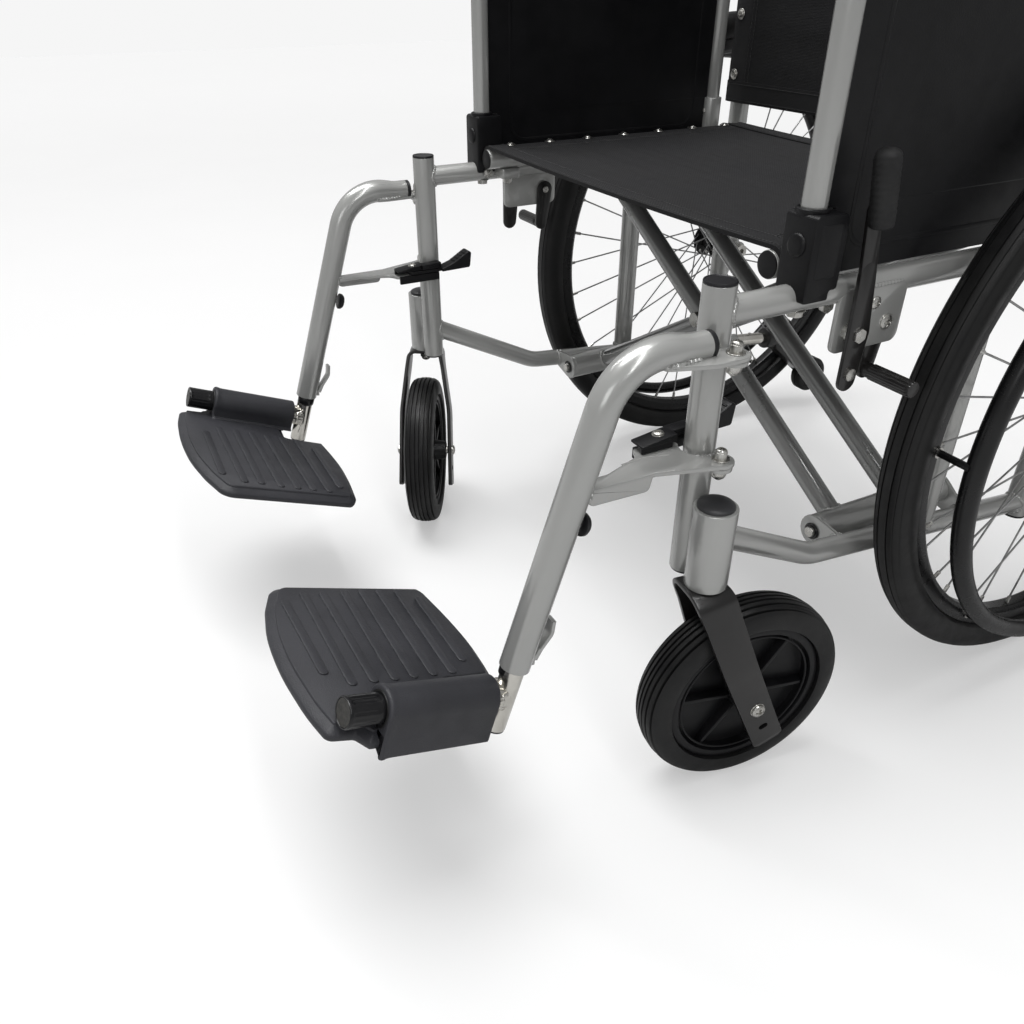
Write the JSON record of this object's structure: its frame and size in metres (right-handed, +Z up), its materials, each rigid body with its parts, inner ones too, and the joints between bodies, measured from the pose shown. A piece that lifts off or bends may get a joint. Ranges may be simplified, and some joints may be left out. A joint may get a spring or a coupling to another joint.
{
  "type": "bariatric wheelchair",
  "caption": "Heavy-duty folding wheelchair with a double cross brace, swing-away footrests, lift-off armrests, wheel locks and anti-tippers.",
  "frame": {"origin": "on the floor, under the middle of the wheelchair's bounding box", "axes": "+Z up, front (footplates) towards -Y, back towards +Y, the sitter's left towards +X"},
  "size_m": [0.7336, 1.157, 0.9446],
  "materials": {
    "silver_paint": "gloss silver-grey powder coat",
    "black_paint": "satin black paint, also the rear rims and hand hoops",
    "black_plastic": "moulded black plastic",
    "moulded_grey": "fine-grained charcoal moulding",
    "zinc": "zinc-plated fastener",
    "chrome": "chrome-plated tube",
    "rubber": "black rubber",
    "upholstery": "black coated nylon"
  },
  "bodies": {
    "right_frame": {"side_frame_right": "silver_paint", "post_cap_right": "black_plastic", "barrel_cap_right": "black_plastic", "push_grip_right": "black_plastic", "rear_axle_right": "zinc", "hinge_pin_upper_right": "zinc", "hinge_pin_lower_right": "zinc", "arm_socket_right": "black_plastic", "back_sling": "upholstery"},
    "left_frame": {"side_frame_left": "silver_paint", "post_cap_left": "black_plastic", "barrel_cap_left": "black_plastic", "push_grip_left": "black_plastic", "rear_axle_left": "zinc", "hinge_pin_upper_left": "zinc", "hinge_pin_lower_left": "zinc", "arm_socket_left": "black_plastic"},
    "brace_b": {"brace_b": "silver_paint", "cross_bolt_front": "zinc", "cross_bolt_rear": "zinc", "seat_sling": "upholstery"},
    "brace_a": {"brace_a": "silver_paint"},
    "rear_wheel_left": {"rear_tyre_left": "rubber", "rear_wheel_left": "black_paint", "handrim_left": "black_paint"},
    "rear_wheel_right": {"rear_tyre_right": "rubber", "rear_wheel_right": "black_paint", "handrim_right": "black_paint"},
    "caster_fork_left": {"caster_fork_left": "black_paint", "caster_axle_left": "zinc"},
    "caster_fork_right": {"caster_fork_right": "black_paint", "caster_axle_right": "zinc"},
    "caster_wheel_left": {"caster_tyre_left": "rubber", "caster_hub_left": "black_plastic"},
    "caster_wheel_right": {"caster_tyre_right": "rubber", "caster_hub_right": "black_plastic"},
    "hanger_left": {"hanger_left": "silver_paint", "latch_block_left": "black_plastic"},
    "hanger_right": {"hanger_right": "silver_paint", "latch_block_right": "black_plastic"},
    "latch_lever_left": {"latch_lever_left": "black_plastic"},
    "latch_lever_right": {"latch_lever_right": "black_plastic"},
    "extension_left": {"extension_tube_left": "chrome"},
    "extension_right": {"extension_tube_right": "chrome"},
    "footplate_left": {"footplate_left": "moulded_grey"},
    "footplate_right": {"footplate_right": "moulded_grey"},
    "armrest_left": {"arm_frame_left": "silver_paint", "arm_pad_left": "black_plastic", "side_panel_left": "black_plastic"},
    "armrest_right": {"arm_frame_right": "silver_paint", "arm_pad_right": "black_plastic", "side_panel_right": "black_plastic"},
    "lock_lever_left": {"lock_lever_left": "black_paint"},
    "lock_lever_right": {"lock_lever_right": "black_paint"},
    "lock_shoe_left": {"lock_shoe_left": "black_paint"},
    "lock_shoe_right": {"lock_shoe_right": "black_paint"},
    "anti_tipper_left": {"anti_tipper_left": "black_paint"},
    "anti_tipper_right": {"anti_tipper_right": "black_paint"},
    "anti_tipper_wheel_left": {"anti_tipper_wheel_left": "rubber"},
    "anti_tipper_wheel_right": {"anti_tipper_wheel_right": "rubber"}
  },
  "joints": [
    {"name": "fold", "type": "hinge", "parent": "right_frame", "child": "brace_b", "pos_m": [-0.2389, 0.00148, 0.1877], "axis": [0, -1, 0], "range_deg": [0, 27], "deforming": ["seat_sling", "back_sling"]},
    {"name": "brace_cross", "type": "hinge", "parent": "brace_b", "child": "brace_a", "pos_m": [0, 0.00148, 0.3296], "axis": [0, -1, 0], "range_deg": [-54, 0]},
    {"name": "left_brace_foot", "type": "hinge", "parent": "brace_a", "child": "left_frame", "pos_m": [0.2389, 0.00148, 0.1877], "axis": [0, -1, 0], "range_deg": [0, 27]},
    {"name": "rear_wheel_spin_left", "type": "hinge", "parent": "left_frame", "child": "rear_wheel_left", "pos_m": [0.3128, 0.26948, 0.309], "axis": [1, 0, 0], "continuous": true},
    {"name": "rear_wheel_spin_right", "type": "hinge", "parent": "right_frame", "child": "rear_wheel_right", "pos_m": [-0.3128, 0.26948, 0.309], "axis": [1, 0, 0], "continuous": true},
    {"name": "caster_swivel_left", "type": "hinge", "parent": "left_frame", "child": "caster_fork_left", "pos_m": [0.3014, -0.22352, 0.2319], "axis": [0, 0, 1], "continuous": true},
    {"name": "caster_swivel_right", "type": "hinge", "parent": "right_frame", "child": "caster_fork_right", "pos_m": [-0.3014, -0.22352, 0.2319], "axis": [0, 0, 1], "continuous": true},
    {"name": "caster_spin_left", "type": "hinge", "parent": "caster_fork_left", "child": "caster_wheel_left", "pos_m": [0.30882, -0.17306, 0.1], "axis": [0.9894, -0.1455, 0], "continuous": true},
    {"name": "caster_spin_right", "type": "hinge", "parent": "caster_fork_right", "child": "caster_wheel_right", "pos_m": [-0.25695, -0.24852, 0.1], "axis": [-0.4901, -0.8717, 0], "continuous": true},
    {"name": "hanger_swing_left", "type": "hinge", "parent": "left_frame", "child": "hanger_left", "pos_m": [0.2985, -0.22352, 0.3443], "axis": [0, 0, 1], "range_deg": [0, 110]},
    {"name": "hanger_swing_right", "type": "hinge", "parent": "right_frame", "child": "hanger_right", "pos_m": [-0.2985, -0.22352, 0.3443], "axis": [0, 0, -1], "range_deg": [0, 110]},
    {"name": "latch_turn_left", "type": "hinge", "parent": "hanger_left", "child": "latch_lever_left", "pos_m": [0.2563, -0.25282, 0.3506], "axis": [0, 0, 1], "range_deg": [0, 18], "stiffness_Nm_per_rad": 0.2},
    {"name": "latch_turn_right", "type": "hinge", "parent": "hanger_right", "child": "latch_lever_right", "pos_m": [-0.2563, -0.25282, 0.3506], "axis": [0, 0, -1], "range_deg": [0, 18], "stiffness_Nm_per_rad": 0.2},
    {"name": "extension_slide_left", "type": "slide", "parent": "hanger_left", "child": "extension_left", "axis": [0, -0.3173, -0.9483], "range_m": [-0.012, 0.08]},
    {"name": "extension_slide_right", "type": "slide", "parent": "hanger_right", "child": "extension_right", "axis": [0, -0.3173, -0.9483], "range_m": [-0.012, 0.08]},
    {"name": "footplate_flip_left", "type": "hinge", "parent": "extension_left", "child": "footplate_left", "pos_m": [0.2979, -0.53902, 0.2267], "axis": [-0.08, 0.9298, -0.3593], "range_deg": [0, 85]},
    {"name": "footplate_flip_right", "type": "hinge", "parent": "extension_right", "child": "footplate_right", "pos_m": [-0.2979, -0.53902, 0.2267], "axis": [-0.08, -0.9298, 0.3593], "range_deg": [0, 85]},
    {"name": "armrest_lift_left", "type": "slide", "parent": "left_frame", "child": "armrest_left", "axis": [0, 0, 1], "range_m": [0, 0.09]},
    {"name": "armrest_lift_right", "type": "slide", "parent": "right_frame", "child": "armrest_right", "axis": [0, 0, 1], "range_m": [0, 0.09]},
    {"name": "lock_lever_turn_left", "type": "hinge", "parent": "left_frame", "child": "lock_lever_left", "pos_m": [0.2911, -0.09552, 0.424], "axis": [1, 0, 0], "range_deg": [0, 40]},
    {"name": "lock_lever_turn_right", "type": "hinge", "parent": "right_frame", "child": "lock_lever_right", "pos_m": [-0.2911, -0.09552, 0.424], "axis": [1, 0, 0], "range_deg": [0, 40]},
    {"name": "lock_shoe_turn_left", "type": "hinge", "parent": "left_frame", "child": "lock_shoe_left", "pos_m": [0.2798, -0.05422, 0.425], "axis": [1, 0, 0], "range_deg": [0, 28]},
    {"name": "lock_shoe_turn_right", "type": "hinge", "parent": "right_frame", "child": "lock_shoe_right", "pos_m": [-0.2798, -0.05422, 0.425], "axis": [1, 0, 0], "range_deg": [0, 28]},
    {"name": "anti_tipper_slide_left", "type": "slide", "parent": "left_frame", "child": "anti_tipper_left", "axis": [0, 0.9944, -0.1055], "range_m": [0, 0.06]},
    {"name": "anti_tipper_slide_right", "type": "slide", "parent": "right_frame", "child": "anti_tipper_right", "axis": [0, 0.9944, -0.1055], "range_m": [0, 0.06]},
    {"name": "anti_tipper_spin_left", "type": "hinge", "parent": "anti_tipper_left", "child": "anti_tipper_wheel_left", "pos_m": [0.2727, 0.48448, 0.062], "axis": [1, 0, 0], "continuous": true},
    {"name": "anti_tipper_spin_right", "type": "hinge", "parent": "anti_tipper_right", "child": "anti_tipper_wheel_right", "pos_m": [-0.2727, 0.48448, 0.062], "axis": [1, 0, 0], "continuous": true}
  ],
  "couplings": [
    {"joint": "brace_cross", "follows": "fold", "ratio": -2},
    {"joint": "left_brace_foot", "follows": "fold", "ratio": 1},
    {"joint": "lock_shoe_turn_left", "follows": "lock_lever_turn_left", "ratio": 0.7},
    {"joint": "lock_shoe_turn_right", "follows": "lock_lever_turn_right", "ratio": 0.7}
  ]
}
